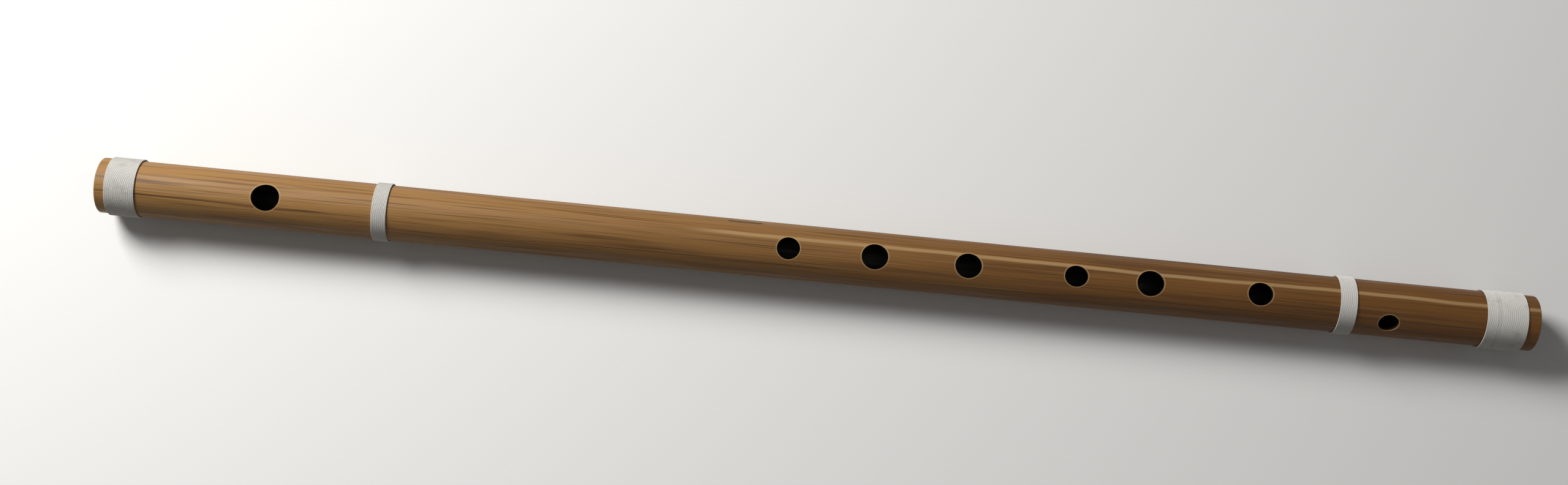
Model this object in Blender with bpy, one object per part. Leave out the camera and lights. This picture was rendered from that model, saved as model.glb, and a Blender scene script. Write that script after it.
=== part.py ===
"""Bass bansuri: a side-blown bamboo flute with a cork stopper and four thread bindings.

Lengths are in metres. The flute lies along X, its head at -X and its foot at +X, with the blow
hole and the six finger holes facing +Z. It rests at Z = 0 on the undersides of its bindings.
"""

import math

import bmesh
import bpy
import numpy as np
from mathutils import Matrix

# Bamboo tube
TUBE_DIAMETER = 0.0274
WALL = 0.0025
RIM_DROP = 0.0004
RIM_ROUND = 0.0006
BORE_ROUND = 0.0003
TUBE_SIDES = 48

# Distances along the tube, each from the one before it, head end to foot end
HEAD_END_TO_BLOW_HOLE = 0.084
BLOW_HOLE_TO_FIRST_HOLE = 0.257
FINGER_HOLE_STEPS = (0.0425, 0.046, 0.053, 0.0365, 0.054)
LAST_HOLE_TO_VENT = 0.064
VENT_TO_FOOT_END = 0.074

# Holes, each as its size along the tube and its size across
BLOW_HOLE = (0.0140, 0.0130)
FINGER_HOLES = (
    (0.0114, 0.0109),
    (0.0131, 0.0124),
    (0.0131, 0.0121),
    (0.0115, 0.0104),
    (0.0133, 0.0124),
    (0.0123, 0.0112),
)
VENT_HOLE = (0.0102, 0.0091)
VENT_TURN = math.radians(37.0)
HOLE_SIDES = 32

# Cork stopper
STOPPER_FACE_TO_BLOW_HOLE = 0.021
STOPPER_LENGTH = 0.024
STOPPER_CLEARANCE = 0.0003
STOPPER_BEVEL = 0.0008

# Thread bindings: the width of each, and where it starts or ends
HEAD_RIM = 0.0049
HEAD_END_BINDING_WIDTH = 0.0153
BLOW_HOLE_TO_HEAD_BAND = 0.0521
HEAD_BAND_WIDTH = 0.0078
FOOT_BAND_TO_VENT = 0.0164
FOOT_BAND_WIDTH = 0.0087
FOOT_END_BINDING_WIDTH = 0.0206
FOOT_RIM = 0.0064

# The flat strand of thread that each binding is wound from
STRAND_WIDTH = 0.00115
STRAND_HEIGHT = 0.0006
STRAND_GAP = 0.00045
STRAND_SEAT_GAP = 0.00025
LOOP_POINTS = 24

# Colours and roughness
BAMBOO_COLOUR = (0.42, 0.24, 0.10)
BAMBOO_ROUGHNESS = 0.45
CORK_COLOUR = (0.50, 0.32, 0.17)
CORK_ROUGHNESS = 0.9
THREAD_COLOUR = (0.80, 0.79, 0.76)
THREAD_ROUGHNESS = 0.8

# Modelling tolerances
SHARP_ANGLE = math.radians(35.0)
MERGE_DISTANCE = 0.000001
CUT_DISTANCE = 0.00000001

# Values that follow from the ones above
TUBE_RADIUS = TUBE_DIAMETER / 2
BORE_RADIUS = TUBE_RADIUS - WALL
TUBE_LENGTH = (
    HEAD_END_TO_BLOW_HOLE
    + BLOW_HOLE_TO_FIRST_HOLE
    + sum(FINGER_HOLE_STEPS)
    + LAST_HOLE_TO_VENT
    + VENT_TO_FOOT_END
)
HEAD_END_X = -TUBE_LENGTH / 2
FOOT_END_X = TUBE_LENGTH / 2
BLOW_HOLE_X = HEAD_END_X + HEAD_END_TO_BLOW_HOLE
FINGER_HOLE_X = [
    BLOW_HOLE_X + BLOW_HOLE_TO_FIRST_HOLE + sum(FINGER_HOLE_STEPS[:number])
    for number in range(len(FINGER_HOLES))
]
VENT_X = FOOT_END_X - VENT_TO_FOOT_END

# The middle of a quarter round lies this share of its radius in from both sides of the corner
ROUND_MIDDLE = 1 - math.sqrt(0.5)

# A straight side of a loop comes nearest to the tube at its middle
LOOP_SIDE_RATIO = math.cos(math.pi / LOOP_POINTS)
STRAND_INNER_RADIUS = (TUBE_RADIUS + STRAND_SEAT_GAP) / LOOP_SIDE_RATIO
STRAND_OUTER_RADIUS = STRAND_INNER_RADIUS + STRAND_HEIGHT
REST_FLAT_DEPTH = STRAND_HEIGHT / 10
AXIS_HEIGHT = STRAND_OUTER_RADIUS * LOOP_SIDE_RATIO - REST_FLAT_DEPTH


def clear_scene():
    """Remove every object, so that the script can be run again in an open file."""
    for scene_object in list(bpy.data.objects):
        bpy.data.objects.remove(scene_object, do_unlink=True)


def plain_material(name, colour, roughness):
    """Return a non-metallic Principled BSDF material."""
    material = bpy.data.materials.new(name)
    material.use_nodes = True
    shader = material.node_tree.nodes["Principled BSDF"]
    shader.inputs["Base Color"].default_value = (*colour, 1.0)
    shader.inputs["Roughness"].default_value = roughness
    shader.inputs["Metallic"].default_value = 0.0
    material.diffuse_color = (*colour, 1.0)
    return material


def add_object(name, bm, material, parent, location=(0.0, 0.0, 0.0)):
    """Turn a bmesh into an object that hangs on the tube's axis."""
    bmesh.ops.recalc_face_normals(bm, faces=bm.faces[:])
    mesh = bpy.data.meshes.new(name)
    bm.to_mesh(mesh)
    bm.free()
    mesh.shade_smooth()
    mesh.set_sharp_from_angle(angle=SHARP_ANGLE)
    new_object = bpy.data.objects.new(name, mesh)
    bpy.context.scene.collection.objects.link(new_object)
    if material is not None:
        mesh.materials.append(material)
    new_object.parent = parent
    new_object.location = location
    return new_object


def turn_profile(profile, sides, closed):
    """Turn a list of (x, radius) points once round the X axis into a bmesh."""
    bm = bmesh.new()
    points = [bm.verts.new((x, 0.0, radius)) for x, radius in profile]
    edges = [bm.edges.new(pair) for pair in zip(points, points[1:])]
    if closed:
        edges.append(bm.edges.new((points[-1], points[0])))
    bmesh.ops.spin(
        bm,
        geom=points + edges,
        cent=(0.0, 0.0, 0.0),
        axis=(1.0, 0.0, 0.0),
        angle=math.tau,
        steps=sides,
        use_merge=True,
    )
    bmesh.ops.remove_doubles(bm, verts=bm.verts[:], dist=MERGE_DISTANCE)
    return bm


def rim_profile(end_x, inward, rim_width):
    """Points of one end of the tube, from the bore round to the outside.

    inward is +1 at the head end and -1 at the foot end.
    """
    rim_radius = TUBE_RADIUS - RIM_DROP
    return [
        (end_x + inward * BORE_ROUND, BORE_RADIUS),
        (end_x, BORE_RADIUS + BORE_ROUND),
        (end_x, rim_radius - RIM_ROUND),
        (end_x + inward * RIM_ROUND * ROUND_MIDDLE, rim_radius - RIM_ROUND * ROUND_MIDDLE),
        (end_x + inward * RIM_ROUND, rim_radius),
        (end_x + inward * rim_width, TUBE_RADIUS),
    ]


def make_hole_cutter(name, x, size, turn, parent):
    """An upright oval rod from the tube's axis out past its wall, turned round the axis."""
    along, across = size
    bm = bmesh.new()
    bmesh.ops.create_cone(
        bm,
        cap_ends=True,
        segments=HOLE_SIDES,
        radius1=0.5,
        radius2=0.5,
        depth=1.0,
        matrix=Matrix.Diagonal((along, across, TUBE_DIAMETER, 1.0)) @ Matrix.Translation((0.0, 0.0, 0.5)),
    )
    cutter = add_object(name, bm, None, parent, (x, 0.0, 0.0))
    cutter.rotation_euler = (turn, 0.0, 0.0)
    cutter.hide_render = True
    cutter.display_type = "WIRE"
    return cutter


def make_tube(parent):
    """The bamboo tube, with its blow hole, finger holes and vent hole cut through one wall."""
    head = rim_profile(HEAD_END_X, 1, HEAD_RIM)
    foot = rim_profile(FOOT_END_X, -1, FOOT_RIM)
    bm = turn_profile(head + foot[::-1], TUBE_SIDES, closed=True)
    material = plain_material("bamboo", BAMBOO_COLOUR, BAMBOO_ROUGHNESS)
    tube = add_object("bamboo_tube", bm, material, parent)

    cutters = [make_hole_cutter("cut_blow_hole", BLOW_HOLE_X, BLOW_HOLE, 0.0, parent)]
    for number, (x, size) in enumerate(zip(FINGER_HOLE_X, FINGER_HOLES), start=1):
        cutters.append(make_hole_cutter(f"cut_finger_hole_{number}", x, size, 0.0, parent))
    cutters.append(make_hole_cutter("cut_vent_hole", VENT_X, VENT_HOLE, VENT_TURN, parent))
    for cutter in cutters:
        cut = tube.modifiers.new(cutter.name, "BOOLEAN")
        cut.operation = "DIFFERENCE"
        cut.solver = "EXACT"
        cut.object = cutter
    return tube


def make_stopper(parent):
    """The cork that closes the bore behind the blow hole, with its origin on the bore's axis."""
    radius = BORE_RADIUS - STOPPER_CLEARANCE
    half = STOPPER_LENGTH / 2
    profile = [
        (-half, 0.0),
        (-half, radius - STOPPER_BEVEL),
        (-half + STOPPER_BEVEL, radius),
        (half - STOPPER_BEVEL, radius),
        (half, radius - STOPPER_BEVEL),
        (half, 0.0),
    ]
    bm = turn_profile(profile, TUBE_SIDES, closed=False)
    centre_x = BLOW_HOLE_X - STOPPER_FACE_TO_BLOW_HOLE - half
    material = plain_material("cork", CORK_COLOUR, CORK_ROUGHNESS)
    return add_object("cork_stopper", bm, material, parent, (centre_x, 0.0, 0.0))


def least_gap(points, turns):
    """Least distance between points of the strand that lie half a turn or more apart."""
    rings = points.reshape(turns * LOOP_POINTS + 1, -1, 3)
    nearest = math.inf
    for index, ring in enumerate(rings[: -LOOP_POINTS // 2]):
        later = rings[index + LOOP_POINTS // 2 :].reshape(-1, 3)
        distances = np.linalg.norm(later[None, :, :] - ring[:, None, :], axis=2)
        nearest = min(nearest, float(distances.min()))
    return nearest


def cut_rest_flats(bm):
    """Cut the loops off level at the surface that the flute rests on, and close the cuts."""
    cut = bmesh.ops.bisect_plane(
        bm,
        geom=bm.verts[:] + bm.edges[:] + bm.faces[:],
        dist=CUT_DISTANCE,
        plane_co=(0.0, 0.0, -AXIS_HEIGHT),
        plane_no=(0.0, 0.0, -1.0),
        clear_outer=True,
    )
    edges = [item for item in cut["geom_cut"] if isinstance(item, bmesh.types.BMEdge)]
    bmesh.ops.holes_fill(bm, edges=edges, sides=0)


def make_binding(name, start_x, width, material, parent):
    """One unbroken strand wound round the tube from start_x, in even turns that fill the width."""
    travel = width - STRAND_WIDTH
    turns = max(1, int(travel / (STRAND_WIDTH + STRAND_GAP)))
    step = travel / (turns * LOOP_POINTS)

    middle_radius = STRAND_INNER_RADIUS + STRAND_HEIGHT / 2
    half_width = STRAND_WIDTH / 2
    half_height = STRAND_HEIGHT / 2
    corners = [
        (half_width, 0.0),
        (half_width / 2, half_height),
        (-half_width / 2, half_height),
        (-half_width, 0.0),
        (-half_width / 2, -half_height),
        (half_width / 2, -half_height),
    ]
    bm = bmesh.new()
    section = [bm.verts.new((x, 0.0, middle_radius + height)) for x, height in corners]
    first_face = bm.faces.new(section)

    # Half a step past a quarter turn, so that a straight side of each loop faces the ground
    start_angle = math.tau / 4 + math.pi / LOOP_POINTS
    placed = Matrix.Translation((half_width, 0.0, 0.0)) @ Matrix.Rotation(start_angle, 4, "X")
    bmesh.ops.transform(bm, matrix=placed, verts=bm.verts[:])
    bmesh.ops.spin(
        bm,
        geom=section + first_face.edges[:] + [first_face],
        cent=(0.0, 0.0, 0.0),
        axis=(1.0, 0.0, 0.0),
        dvec=(step, 0.0, 0.0),
        angle=math.tau * turns,
        steps=turns * LOOP_POINTS,
    )
    gap = least_gap(np.array([vertex.co[:] for vertex in bm.verts]), turns)
    print(f"{name}: {turns} turns, least gap between them {gap * 1000:.2f} mm")
    cut_rest_flats(bm)
    return add_object(name, bm, material, parent, (start_x, 0.0, 0.0))


def make_bindings(parent):
    """The wide bindings at both ends and the two narrow bands between them."""
    thread = plain_material("thread", THREAD_COLOUR, THREAD_ROUGHNESS)
    head_band_x = BLOW_HOLE_X + BLOW_HOLE_TO_HEAD_BAND
    foot_band_x = VENT_X - FOOT_BAND_TO_VENT - FOOT_BAND_WIDTH
    foot_end_x = FOOT_END_X - FOOT_RIM - FOOT_END_BINDING_WIDTH
    make_binding(
        "head_end_binding", HEAD_END_X + HEAD_RIM, HEAD_END_BINDING_WIDTH, thread, parent
    )
    make_binding("head_band_binding", head_band_x, HEAD_BAND_WIDTH, thread, parent)
    make_binding("foot_band_binding", foot_band_x, FOOT_BAND_WIDTH, thread, parent)
    make_binding("foot_end_binding", foot_end_x, FOOT_END_BINDING_WIDTH, thread, parent)


def main():
    """Build every piece round one empty on the tube's axis."""
    clear_scene()
    axis = bpy.data.objects.new("tube_axis", None)
    axis.location = (0.0, 0.0, AXIS_HEIGHT)
    bpy.context.scene.collection.objects.link(axis)
    make_tube(axis)
    make_stopper(axis)
    make_bindings(axis)


main()
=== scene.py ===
import math

import bpy
from mathutils import Matrix, Vector, noise


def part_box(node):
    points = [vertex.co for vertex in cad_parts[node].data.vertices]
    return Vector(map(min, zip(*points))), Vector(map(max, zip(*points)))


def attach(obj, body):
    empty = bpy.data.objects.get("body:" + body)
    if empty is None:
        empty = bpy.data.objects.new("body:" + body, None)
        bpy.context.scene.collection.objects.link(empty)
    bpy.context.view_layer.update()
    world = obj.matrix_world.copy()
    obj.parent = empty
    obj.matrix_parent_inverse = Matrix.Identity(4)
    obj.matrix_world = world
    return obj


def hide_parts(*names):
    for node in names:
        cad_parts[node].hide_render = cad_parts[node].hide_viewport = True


bl_info = {
    "name": "Bansuri",
    "version": (1, 0, 0),
    "blender": (4, 5, 0),
    "location": "View3D > Sidebar > Bansuri",
    "description": "Makes a bamboo bass flute with its thread bindings, cork stopper and studio",
    "category": "Add Mesh",
}

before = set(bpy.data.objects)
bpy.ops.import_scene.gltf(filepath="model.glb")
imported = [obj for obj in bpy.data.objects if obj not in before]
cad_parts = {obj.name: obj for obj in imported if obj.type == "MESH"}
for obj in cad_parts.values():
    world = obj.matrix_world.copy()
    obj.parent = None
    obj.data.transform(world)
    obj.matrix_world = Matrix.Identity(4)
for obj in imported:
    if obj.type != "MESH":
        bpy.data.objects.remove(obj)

TUBE_LOW, TUBE_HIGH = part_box("bamboo_tube")
AXIS_HEIGHT = (TUBE_LOW.z + TUBE_HIGH.z) / 2
TUBE_RADIUS = (TUBE_HIGH.z - TUBE_LOW.z) / 2
BINDING_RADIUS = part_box("head_end_binding")[1].y

# Each hole: centre along the tube, length along it, width across it, turn towards -Y in degrees
HOLES = (
    (-0.2715, 0.0140, 0.0130, 0.0),
    (-0.0145, 0.0114, 0.0109, 0.0),
    (0.0280, 0.0131, 0.0124, 0.0),
    (0.0740, 0.0131, 0.0121, 0.0),
    (0.1270, 0.0115, 0.0104, 0.0),
    (0.1635, 0.0133, 0.0124, 0.0),
    (0.2175, 0.0123, 0.0112, 0.0),
    (0.2815, 0.0102, 0.0091, 37.0),
)
HOLE_SIDES = 64
# How far from the tube's axis a hole's cutter starts and stops
HOLE_START = 0.006
HOLE_STOP = 0.018

TUBE_SIDES = 96
RING_STEP = 0.0025
RIM_STEPS = 5
BORE_ROUND = 0.0003
BORE_STEPS = 12
# The most that the bamboo's skin dips below a true circle
WOBBLE = 0.00008
TUBE_SHARP_ANGLE = math.radians(35)

# Marks on the bamboo: their places along and across the tube, and their half widths
STREAK_PLACE = 0.0050
STREAK_HALF = 0.0004
STREAK_START = (-0.070, -0.040)
STREAK_SWAY = 0.004
CREASE_PLACE = (-0.292, -0.0045)
CREASE_HALF = (0.043, 0.0001)
SCRATCH_PLACE = (-0.0367, 0.0114)
SCRATCH_HALF = (0.0078, 0.00015)

STRAND_SIDES = 8
STRAND_STEPS = 64
STRAND_SHARP_ANGLE = 80

# Where the two open gaps between turns of the foot end binding are, along the tube
FOOT_GAPS = (0.3344, 0.3355)
GAP_WIDTH = 0.00022
GAP_STEP = 0.00025
GAP_REACH = 0.0015

CAMERA_PLACE = (-0.0169, -0.1126, 0.9392)
CAMERA_ROLL = math.radians(7.2)
CAMERA_TURN = math.radians(5.54)
FOCAL_PIXELS = 3068.0
PHOTO_WIDTH = 2560.0
SENSOR_WIDTH = 36.0

FLOOR_REACH = 6.0

# Each lamp: place, what it points at, size and power
WINDOW_LAMP = ((-1.05, 0.78, 0.98), (-0.08, 0.0, 0.0), 0.65, 29.0)
FILL_LAMP = ((0.70, -0.60, 1.10), (0.10, 0.0, 0.0), 1.20, 0.3)

# What the floor throws back on the underside of the flute
FLOOR_BOUNCE = (0.26, 0.25, 0.23)

# How strong the white world is as a light, and where it is seen or mirrored
WORLD_LIGHT = 0.09
WORLD_SEEN = 0.80


class FluteSizes(bpy.types.PropertyGroup):
    wall: bpy.props.FloatProperty(
        name="Wall", description="Thickness of the bamboo's wall",
        default=0.0025, min=0.001, max=0.005, unit="LENGTH")
    rim_round: bpy.props.FloatProperty(
        name="Rim rounding", description="Radius of the worn edge at both ends",
        default=0.0007, min=0.0001, max=0.001, unit="LENGTH")
    thread_pitch: bpy.props.FloatProperty(
        name="Thread pitch", description="Distance from one turn of thread to the next",
        default=0.00043, min=0.0002, max=0.001, unit="LENGTH")


class FluteColours(bpy.types.PropertyGroup):
    # Pale head end and dark foot end: partly the bamboo's own tone, partly painted light at the head
    # and painted shade towards the foot
    bamboo_pale_and_lit: bpy.props.FloatVectorProperty(
        name="Pale bamboo", description="Bamboo at the head end",
        default=(0.36, 0.190, 0.062), size=3, min=0, max=1, subtype="COLOR")
    bamboo_dark_and_shaded: bpy.props.FloatVectorProperty(
        name="Dark bamboo", description="Bamboo towards the foot end",
        default=(0.165, 0.068, 0.014), size=3, min=0, max=1, subtype="COLOR")
    fibre: bpy.props.FloatVectorProperty(
        name="Fibre", description="Dark fibres and creases in the bamboo",
        default=(0.060, 0.024, 0.008), size=3, min=0, max=1, subtype="COLOR")
    streak: bpy.props.FloatVectorProperty(
        name="Streak", description="Long pale streak and the bare edges of the holes",
        default=(0.46, 0.29, 0.13), size=3, min=0, max=1, subtype="COLOR")
    burnt: bpy.props.FloatVectorProperty(
        name="Burnt bamboo", description="Burnt walls of the holes, and the bore",
        default=(0.014, 0.009, 0.006), size=3, min=0, max=1, subtype="COLOR")
    thread: bpy.props.FloatVectorProperty(
        name="Thread", description="White waxed thread",
        default=(0.78, 0.76, 0.71), size=3, min=0, max=1, subtype="COLOR")
    # Grey thread: painted shade between the turns, and patches of grime
    thread_shade_and_grime: bpy.props.FloatVectorProperty(
        name="Thread groove", description="Grime between the turns of thread",
        default=(0.36, 0.32, 0.27), size=3, min=0, max=1, subtype="COLOR")
    cork: bpy.props.FloatVectorProperty(
        name="Cork", description="Body of the cork",
        default=(0.50, 0.28, 0.13), size=3, min=0, max=1, subtype="COLOR")
    cork_pore: bpy.props.FloatVectorProperty(
        name="Cork pore", description="Dark pores of the cork",
        default=(0.12, 0.055, 0.025), size=3, min=0, max=1, subtype="COLOR")
    floor: bpy.props.FloatVectorProperty(
        name="Floor", description="Pale floor under the flute",
        default=(0.99, 0.98, 0.95), size=3, min=0, max=1, subtype="COLOR")


class Nodes:
    """Adds shader nodes to one new material."""

    def __init__(self, name, roughness):
        self.material = bpy.data.materials.new(name)
        self.material.use_nodes = True
        self.tree = self.material.node_tree
        self.shader = self.tree.nodes["Principled BSDF"]
        self.shader.inputs["Roughness"].default_value = roughness
        self.place = self.add("ShaderNodeTexCoord").outputs["Object"]
        split = self.add("ShaderNodeSeparateXYZ")
        self.link(self.place, split.inputs[0])
        self.x, self.y, self.z = split.outputs

    def add(self, kind, **settings):
        node = self.tree.nodes.new(kind)
        for key, value in settings.items():
            setattr(node, key, value)
        return node

    def link(self, source, target):
        self.tree.links.new(source, target)

    def give(self, socket, value):
        if isinstance(value, bpy.types.NodeSocket):
            self.link(value, socket)
        else:
            socket.default_value = value

    def math(self, operation, first, second=0.0):
        node = self.add("ShaderNodeMath", operation=operation)
        self.give(node.inputs[0], first)
        self.give(node.inputs[1], second)
        return node.outputs[0]

    def ramp(self, value, start, stop, low=0.0, high=1.0):
        """Goes smoothly from low at start to high at stop."""
        node = self.add("ShaderNodeMapRange", interpolation_type="SMOOTHSTEP")
        for socket, number in zip(node.inputs[:5], (value, start, stop, low, high)):
            self.give(socket, number)
        return node.outputs[0]

    def scaled(self, factors, shift=(0.0, 0.0, 0.0), place=None):
        """Stretches and shifts the place on the object."""
        node = self.add("ShaderNodeVectorMath", operation="MULTIPLY_ADD")
        self.link(place or self.place, node.inputs[0])
        node.inputs[1].default_value = factors
        node.inputs[2].default_value = shift
        return node.outputs[0]

    def noise(self, factors, detail=3.0, shift=(0.0, 0.0, 0.0)):
        node = self.add("ShaderNodeTexNoise")
        self.link(self.scaled(factors, shift), node.inputs["Vector"])
        node.inputs["Scale"].default_value = 1.0
        node.inputs["Detail"].default_value = detail
        return node.outputs["Fac"]

    def mix(self, factor, first, second):
        node = self.add("ShaderNodeMix", data_type="RGBA")
        self.give(node.inputs["Factor"], factor)
        colour_inputs = [s for s in node.inputs if s.type == "RGBA"]
        for socket, colour in zip(colour_inputs, (first, second)):
            if isinstance(colour, bpy.types.NodeSocket):
                self.link(colour, socket)
            else:
                socket.default_value = (*colour, 1.0)
        return [s for s in node.outputs if s.type == "RGBA"][0]

    def bump(self, height, distance, strength=1.0):
        node = self.add("ShaderNodeBump")
        node.inputs["Distance"].default_value = distance
        node.inputs["Strength"].default_value = strength
        self.link(height, node.inputs["Height"])
        self.link(node.outputs[0], self.shader.inputs["Normal"])

    def radius(self):
        """Distance from the tube's axis."""
        node = self.add("ShaderNodeVectorMath", operation="LENGTH")
        self.link(self.scaled((0.0, 1.0, 1.0), (0.0, 0.0, -AXIS_HEIGHT)), node.inputs[0])
        return node.outputs["Value"]

    def near(self, value, middle, half, soft):
        """Is 1 where value is within half of middle."""
        away = self.math("ABSOLUTE", self.math("SUBTRACT", value, middle))
        return self.ramp(away, half, half + soft, 1.0, 0.0)

    def hole_distance(self, hole):
        """Is 1 at the edge of one hole and 0 at its centre."""
        middle, length, width, turn = hole
        turned = self.add("ShaderNodeVectorRotate", rotation_type="X_AXIS")
        self.link(self.place, turned.inputs["Vector"])
        turned.inputs["Center"].default_value = (0.0, 0.0, AXIS_HEIGHT)
        turned.inputs["Angle"].default_value = -math.radians(turn)
        factors = (2 / length, 2 / width, 0.0)
        offset = (-2 * middle / length, 0.0, 0.0)
        node = self.add("ShaderNodeVectorMath", operation="LENGTH")
        self.link(self.scaled(factors, offset, turned.outputs[0]), node.inputs[0])
        return node.outputs["Value"]


def bamboo_material(colours):
    """Bamboo that darkens towards the foot, partly its own tone and partly painted shade, with fibres,
    a streak, a scratch and burnt holes.
    """
    n = Nodes("bamboo", 0.42)
    upper = n.ramp(n.z, AXIS_HEIGHT, AXIS_HEIGHT + 0.001)
    cloud = n.noise((7.0, 60.0, 60.0), 4.0)
    # Darker from head to foot: partly the bamboo's own tone, partly painted shade where the window
    # light falls off
    along = n.math("ADD", n.x, n.math("MULTIPLY", n.math("SUBTRACT", cloud, 0.5), 0.28))
    colour = n.mix(n.ramp(along, -0.38, 0.26), colours.bamboo_pale_and_lit, colours.bamboo_dark_and_shaded)
    fibres = n.noise((14.0, 1500.0, 1500.0), 5.0)
    colour = n.mix(n.ramp(fibres, 0.48, 0.74, 0.0, 0.75), colour, colours.fibre)
    bands = n.noise((9.0, 330.0, 330.0), 3.0, (3.1, 0.0, 0.0))
    colour = n.mix(n.ramp(bands, 0.50, 0.70, 0.0, 0.60), colour, colours.fibre)
    light_fibres = n.noise((10.0, 900.0, 900.0), 4.0, (7.7, 2.0, 0.0))
    colour = n.mix(n.ramp(light_fibres, 0.58, 0.80, 0.0, 0.40), colour, colours.streak)

    # The long pale streak, and the crease on the head's lower side
    sway = n.math("MULTIPLY", n.math("SUBTRACT", n.noise((9.0, 0.0, 0.0)), 0.5), STREAK_SWAY)
    streak_y = n.math("ADD", n.y, sway)
    streak = n.math("MULTIPLY", n.near(streak_y, STREAK_PLACE, STREAK_HALF, 0.0009), upper)
    streak = n.math("MULTIPLY", streak, n.ramp(n.x, *STREAK_START))
    colour = n.mix(n.math("MULTIPLY", streak, 0.75), colour, colours.streak)
    crease = n.math("MULTIPLY", n.near(streak_y, CREASE_PLACE[1], CREASE_HALF[1], 0.0005), upper)
    crease = n.math("MULTIPLY", crease, n.near(n.x, CREASE_PLACE[0], CREASE_HALF[0], 0.010))
    colour = n.mix(n.math("MULTIPLY", crease, 0.70), colour, colours.fibre)
    scratch = n.math("MULTIPLY", n.near(n.y, SCRATCH_PLACE[1], SCRATCH_HALF[1], 0.0003), upper)
    scratch = n.math("MULTIPLY", scratch, n.near(n.x, SCRATCH_PLACE[0], SCRATCH_HALF[0], 0.0010))
    colour = n.mix(n.math("MULTIPLY", scratch, 0.90), colour, colours.burnt)

    # Pale specks where the skin is chipped
    specks = n.add("ShaderNodeTexVoronoi")
    n.link(n.scaled((210.0, 330.0, 330.0)), specks.inputs["Vector"])
    specks.inputs["Scale"].default_value = 1.0
    speck = n.math("MULTIPLY", n.ramp(specks.outputs["Distance"], 0.03, 0.09, 1.0, 0.0), 0.45)
    colour = n.mix(n.math("MULTIPLY", speck, n.ramp(cloud, 0.50, 0.62)), colour, colours.streak)

    # A thin pale edge round each hole, and burnt walls in it
    nearest = None
    for hole in HOLES:
        distance = n.hole_distance(hole)
        nearest = distance if nearest is None else n.math("MINIMUM", nearest, distance)
    edge = n.math("MULTIPLY", n.near(nearest, 1.035, 0.025, 0.05), upper)
    colour = n.mix(n.math("MULTIPLY", edge, 0.65), colour, colours.streak)
    inside = n.ramp(n.radius(), TUBE_RADIUS - 0.0009, TUBE_RADIUS - 0.0003, 1.0, 0.0)
    colour = n.mix(inside, colour, colours.burnt)

    # End grain with its dots on the cut ends
    ends = n.ramp(n.math("ABSOLUTE", n.x), TUBE_HIGH.x - 0.0005, TUBE_HIGH.x - 0.0002)
    dots = n.noise((0.0, 2300.0, 2300.0), 2.0)
    grain = n.mix(n.ramp(dots, 0.52, 0.66), colours.bamboo_pale_and_lit, colours.fibre)
    colour = n.mix(ends, colour, grain)
    n.link(colour, n.shader.inputs["Base Color"])
    gloss = n.noise((30.0, 400.0, 400.0), 3.0, (1.0, 0.0, 0.0))
    n.link(n.ramp(gloss, 0.3, 0.7, 0.38, 0.58), n.shader.inputs["Roughness"])
    n.shader.inputs["Specular IOR Level"].default_value = 0.22
    n.bump(n.math("ADD", fibres, n.math("MULTIPLY", scratch, -1.0)), 0.00012, 0.8)
    return n.material


def thread_material(colours):
    """Matt white thread with twist, fuzz, patches of grime, and painted shade between its turns."""
    n = Nodes("thread", 0.85)
    # Painted shade: the thread turns grey deep between its turns, near the tube
    painted_groove_shade = n.ramp(n.radius(), BINDING_RADIUS - 0.00045, BINDING_RADIUS - 0.0001)
    stain = n.noise((140.0, 190.0, 190.0), 4.0)
    colour = n.mix(painted_groove_shade, colours.thread_shade_and_grime, colours.thread)
    colour = n.mix(n.ramp(stain, 0.52, 0.80, 0.0, 0.35), colour, colours.thread_shade_and_grime)
    n.link(colour, n.shader.inputs["Base Color"])
    n.shader.inputs["Sheen Weight"].default_value = 0.25
    twist = n.noise((4200.0, 2600.0, 2600.0), 3.0)
    n.bump(twist, 0.00010, 0.7)
    return n.material


def cork_material(colours):
    """Cork with its dark pores and soft mottling."""
    n = Nodes("cork", 0.80)
    mottle = n.noise((420.0, 420.0, 420.0), 5.0)
    pores = n.noise((300.0, 900.0, 900.0), 4.0, (5.0, 1.0, 0.0))
    deep = n.ramp(pores, 0.58, 0.68)
    colour = n.mix(n.ramp(mottle, 0.35, 0.70, 0.0, 0.45), colours.cork, colours.cork_pore)
    colour = n.mix(deep, colour, colours.cork_pore)
    n.link(colour, n.shader.inputs["Base Color"])
    n.bump(n.math("SUBTRACT", mottle, deep), 0.00030, 0.8)
    return n.material


def new_object(name, verts, faces, material=None, smooth_angle=None):
    """Makes an object at the origin from vertices and faces."""
    mesh = bpy.data.meshes.new(name)
    mesh.from_pydata(verts, [], faces)
    mesh.update()
    piece = bpy.data.objects.new(name, mesh)
    bpy.context.scene.collection.objects.link(piece)
    if material:
        mesh.materials.append(material)
    if smooth_angle is not None:
        mesh.shade_smooth()
        mesh.set_sharp_from_angle(angle=math.radians(smooth_angle))
    return piece


def ring_faces(rings, sides, closed):
    """Quads between each ring of vertices and the next, and round to the first where closed."""
    faces = []
    for ring in range(rings if closed else rings - 1):
        start = ring * sides
        following = (ring + 1) % rings * sides
        for side in range(sides):
            after = (side + 1) % sides
            faces.append((start + side, start + after, following + after, following + side))
    return faces


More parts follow.
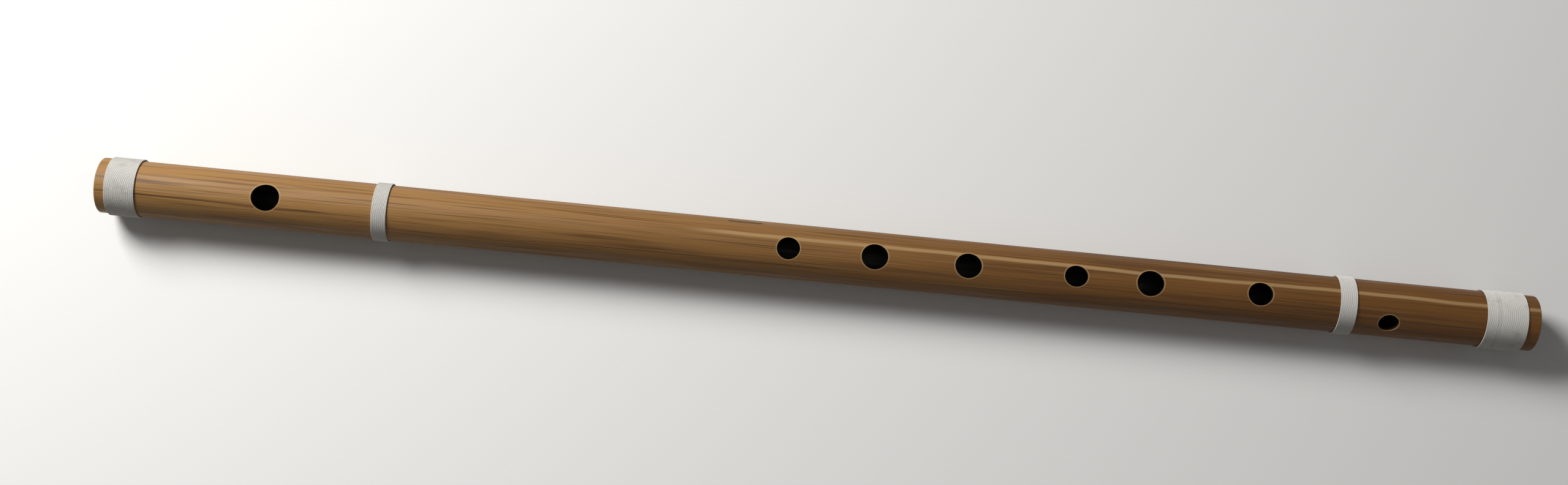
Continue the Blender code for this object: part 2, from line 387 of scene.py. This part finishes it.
def tube_profile(sizes):
    """Places (along, radius) up the outside of the tube and back down its bore."""
    half = TUBE_HIGH.x
    bore = TUBE_RADIUS - sizes.wall
    rim = sizes.rim_round
    count = round(2 * (half - rim) / RING_STEP)
    step = 2 * (half - rim) / count
    outside = [(-half + rim + step * i, TUBE_RADIUS) for i in range(count + 1)]
    foot_rim = []
    for i in range(1, RIM_STEPS + 1):
        angle = math.pi / 2 * i / RIM_STEPS
        foot_rim.append((half - rim + rim * math.sin(angle), TUBE_RADIUS - rim + rim * math.cos(angle)))
    head_rim = [(-x, r) for x, r in reversed(foot_rim)]
    bore_foot = [(half, bore + BORE_ROUND), (half - BORE_ROUND, bore)]
    bore_head = [(-x, r) for x, r in reversed(bore_foot)]
    middle = [(half - 2 * half * i / BORE_STEPS, bore) for i in range(1, BORE_STEPS)]
    return outside + foot_rim + bore_foot + middle + bore_head + head_rim


def hole_cutter():
    """All the hole cutters in one mesh."""
    verts = []
    faces = []
    for middle, length, width, turn in HOLES:
        rotation = Matrix.Rotation(math.radians(turn), 3, "X")
        base = len(verts)
        for height in (HOLE_START, HOLE_STOP):
            for i in range(HOLE_SIDES):
                angle = 2 * math.pi * i / HOLE_SIDES
                point = Vector((length / 2 * math.cos(angle), width / 2 * math.sin(angle), height))
                verts.append(rotation @ point + Vector((middle, 0.0, AXIS_HEIGHT)))
        faces += [tuple(base + v for v in face) for face in ring_faces(2, HOLE_SIDES, False)]
        faces.append(tuple(base + i for i in reversed(range(HOLE_SIDES))))
        faces.append(tuple(base + HOLE_SIDES + i for i in range(HOLE_SIDES)))
    return new_object("hole_cutter", verts, faces)


def strand_rings(start, stop, pitch, gaps):
    """Rings of vertices along one strand that is wound from start to stop."""
    width = pitch / 2
    height = (BINDING_RADIUS - TUBE_RADIUS) / 2
    middle = TUBE_RADIUS + height
    turns = round((stop - start - 2 * width) / pitch)
    length = stop - start - 2 * width
    verts = []
    for step in range(turns * STRAND_STEPS + 1):
        angle = 2 * math.pi * step / STRAND_STEPS
        along = start + width + length * step / (turns * STRAND_STEPS)
        for gap in gaps:
            past = along - gap
            fade = math.exp(-(past / GAP_REACH) ** 2)
            along += GAP_WIDTH / 2 * math.tanh(past / GAP_STEP) * fade
        unevenness = 1.0 - 0.06 * (0.5 + 0.5 * noise.noise(Vector((angle * 1.7, start * 900, 0))))
        for side in range(STRAND_SIDES):
            turn = 2 * math.pi * side / STRAND_SIDES
            radius = middle + height * unevenness * math.cos(turn)
            verts.append((
                along + width * 0.98 * math.sin(turn),
                radius * math.sin(angle),
                AXIS_HEIGHT - radius * math.cos(angle),
            ))
    return verts, turns * STRAND_STEPS + 1


def add_binding(name, node, material, pitch, gaps=()):
    """Winds one strand of thread over the place of a binding."""
    low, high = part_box(node)
    verts, rings = strand_rings(low.x, high.x, pitch, gaps)
    faces = ring_faces(rings, STRAND_SIDES, False)
    faces.append(tuple(reversed(range(STRAND_SIDES))))
    faces.append(tuple((rings - 1) * STRAND_SIDES + i for i in range(STRAND_SIDES)))
    piece = new_object(name, verts, faces, material, STRAND_SHARP_ANGLE)
    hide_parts(node)
    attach(piece, "flute")
    return piece


class MakeTube(bpy.types.Operator):
    """Makes the bamboo tube with its rounded ends and its holes"""
    bl_idname = "bansuri.make_tube"
    bl_label = "Make Bamboo Tube"

    def execute(self, context):
        sizes = context.scene.bansuri_sizes
        material = bamboo_material(context.scene.bansuri_colours)
        profile = tube_profile(sizes)
        verts = []
        for along, radius in profile:
            for side in range(TUBE_SIDES):
                angle = 2 * math.pi * side / TUBE_SIDES
                wave = noise.noise(Vector((along * 12, math.cos(angle) * 1.5, math.sin(angle) * 1.5)))
                wobble = WOBBLE * (0.5 + 0.5 * wave) if radius == TUBE_RADIUS else 0.0
                reach = radius - wobble
                verts.append((along, reach * math.sin(angle), AXIS_HEIGHT + reach * math.cos(angle)))
        faces = ring_faces(len(profile), TUBE_SIDES, True)
        piece = new_object("bamboo_flute_tube", verts, faces, material)
        cutter = hole_cutter()
        cut = piece.modifiers.new("holes", "BOOLEAN")
        cut.operation = "DIFFERENCE"
        cut.solver = "EXACT"
        cut.object = cutter
        context.view_layer.update()
        cut_piece = piece.evaluated_get(context.evaluated_depsgraph_get())
        mesh = bpy.data.meshes.new_from_object(cut_piece)
        piece.modifiers.clear()
        piece.data = mesh
        bpy.data.objects.remove(cutter)
        if len(mesh.polygons) <= len(faces):
            raise RuntimeError("the holes were not cut in the tube")
        mesh.shade_smooth()
        mesh.set_sharp_from_angle(angle=TUBE_SHARP_ANGLE)
        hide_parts("bamboo_tube")
        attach(piece, "flute")
        return {"FINISHED"}


class WindBindings(bpy.types.Operator):
    """Winds the four white thread bindings"""
    bl_idname = "bansuri.wind_bindings"
    bl_label = "Wind Thread Bindings"

    def execute(self, context):
        material = thread_material(context.scene.bansuri_colours)
        pitch = context.scene.bansuri_sizes.thread_pitch
        add_binding("head_end_thread", "head_end_binding", material, pitch)
        add_binding("head_band_thread", "head_band_binding", material, pitch)
        add_binding("foot_band_thread", "foot_band_binding", material, pitch)
        add_binding("foot_end_thread", "foot_end_binding", material, pitch, FOOT_GAPS)
        return {"FINISHED"}


class FinishCork(bpy.types.Operator):
    """Gives the cork stopper its material"""
    bl_idname = "bansuri.finish_cork"
    bl_label = "Finish Cork Stopper"

    def execute(self, context):
        material = cork_material(context.scene.bansuri_colours)
        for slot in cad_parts["cork_stopper"].material_slots:
            slot.material = material
        return {"FINISHED"}


class MakeStage(bpy.types.Operator):
    """Makes the floor, the lights and the camera"""
    bl_idname = "bansuri.make_stage"
    bl_label = "Make Stage"

    def execute(self, context):
        scene = context.scene
        sides = ((-1, -1), (1, -1), (1, 1), (-1, 1))
        corners = [(x * FLOOR_REACH, y * FLOOR_REACH, 0.0) for x, y in sides]
        n = Nodes("floor", 0.9)
        pale = scene.bansuri_colours.floor
        cloud = n.noise((2.0, 2.0, 2.0), 2.0)
        seen = n.mix(cloud, pale, tuple(c * 0.98 for c in pale))
        rays = n.add("ShaderNodeLightPath").outputs
        shown = n.math("MAXIMUM", rays["Is Camera Ray"], rays["Is Glossy Ray"])
        shown = n.math("MAXIMUM", shown, rays["Is Transmission Ray"])
        n.link(n.mix(shown, FLOOR_BOUNCE, seen), n.shader.inputs["Base Color"])
        new_object("floor", corners, [(0, 1, 2, 3)], n.material)

        self.add_lamp("window_lamp", *WINDOW_LAMP)
        self.add_lamp("fill_lamp", *FILL_LAMP)
        world = bpy.data.worlds.new("studio")
        world.use_nodes = True
        world.node_tree.nodes["Background"].inputs["Color"].default_value = (1.0, 1.0, 1.0, 1.0)
        tree = world.node_tree
        rays = tree.nodes.new("ShaderNodeLightPath").outputs
        seen = rays["Is Camera Ray"]
        for name in ("Is Glossy Ray", "Is Transmission Ray"):
            either = tree.nodes.new("ShaderNodeMath")
            either.operation = "MAXIMUM"
            tree.links.new(seen, either.inputs[0])
            tree.links.new(rays[name], either.inputs[1])
            seen = either.outputs[0]
        strength = tree.nodes.new("ShaderNodeMapRange")
        strength.inputs["To Min"].default_value = WORLD_LIGHT
        strength.inputs["To Max"].default_value = WORLD_SEEN
        tree.links.new(seen, strength.inputs["Value"])
        tree.links.new(strength.outputs[0], tree.nodes["Background"].inputs["Strength"])
        scene.world = world

        data = bpy.data.cameras.new("camera")
        data.sensor_width = SENSOR_WIDTH
        data.lens = FOCAL_PIXELS / PHOTO_WIDTH * SENSOR_WIDTH
        data.clip_start = 0.01
        camera = bpy.data.objects.new("camera", data)
        scene.collection.objects.link(camera)
        turned = Matrix.Rotation(CAMERA_ROLL, 4, "X") @ Matrix.Rotation(CAMERA_TURN, 4, "Z")
        camera.matrix_world = Matrix.Translation(CAMERA_PLACE) @ turned
        scene.camera = camera
        scene.view_settings.view_transform = "Standard"
        return {"FINISHED"}

    def add_lamp(self, name, place, target, size, power):
        """Adds a square soft lamp that points at a target."""
        data = bpy.data.lights.new(name, "AREA")
        data.size = size
        data.energy = power
        lamp = bpy.data.objects.new(name, data)
        bpy.context.scene.collection.objects.link(lamp)
        lamp.location = place
        aim = Vector(target) - Vector(place)
        lamp.rotation_euler = aim.to_track_quat("-Z", "Y").to_euler()


class FlutePanel(bpy.types.Panel):
    """Lists the flute's steps"""
    bl_idname = "VIEW3D_PT_bansuri"
    bl_label = "Bansuri"
    bl_space_type = "VIEW_3D"
    bl_region_type = "UI"
    bl_category = "Bansuri"

    def draw(self, context):
        for group in (context.scene.bansuri_sizes, context.scene.bansuri_colours):
            for key in group.__annotations__:
                self.layout.prop(group, key)
        for step in STEPS:
            self.layout.operator(step.bl_idname)


STEPS = (MakeStage, MakeTube, WindBindings, FinishCork)
CLASSES = (FluteSizes, FluteColours, *STEPS, FlutePanel)


def register():
    for item in CLASSES:
        bpy.utils.register_class(item)
    bpy.types.Scene.bansuri_sizes = bpy.props.PointerProperty(type=FluteSizes)
    bpy.types.Scene.bansuri_colours = bpy.props.PointerProperty(type=FluteColours)


def unregister():
    del bpy.types.Scene.bansuri_sizes
    del bpy.types.Scene.bansuri_colours
    for item in reversed(CLASSES):
        bpy.utils.unregister_class(item)


def main():
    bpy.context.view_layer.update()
    register()
    bpy.ops.bansuri.make_stage()
    bpy.ops.bansuri.make_tube()
    bpy.ops.bansuri.wind_bindings()
    bpy.ops.bansuri.finish_cork()


if __name__ == "__main__":
    main()
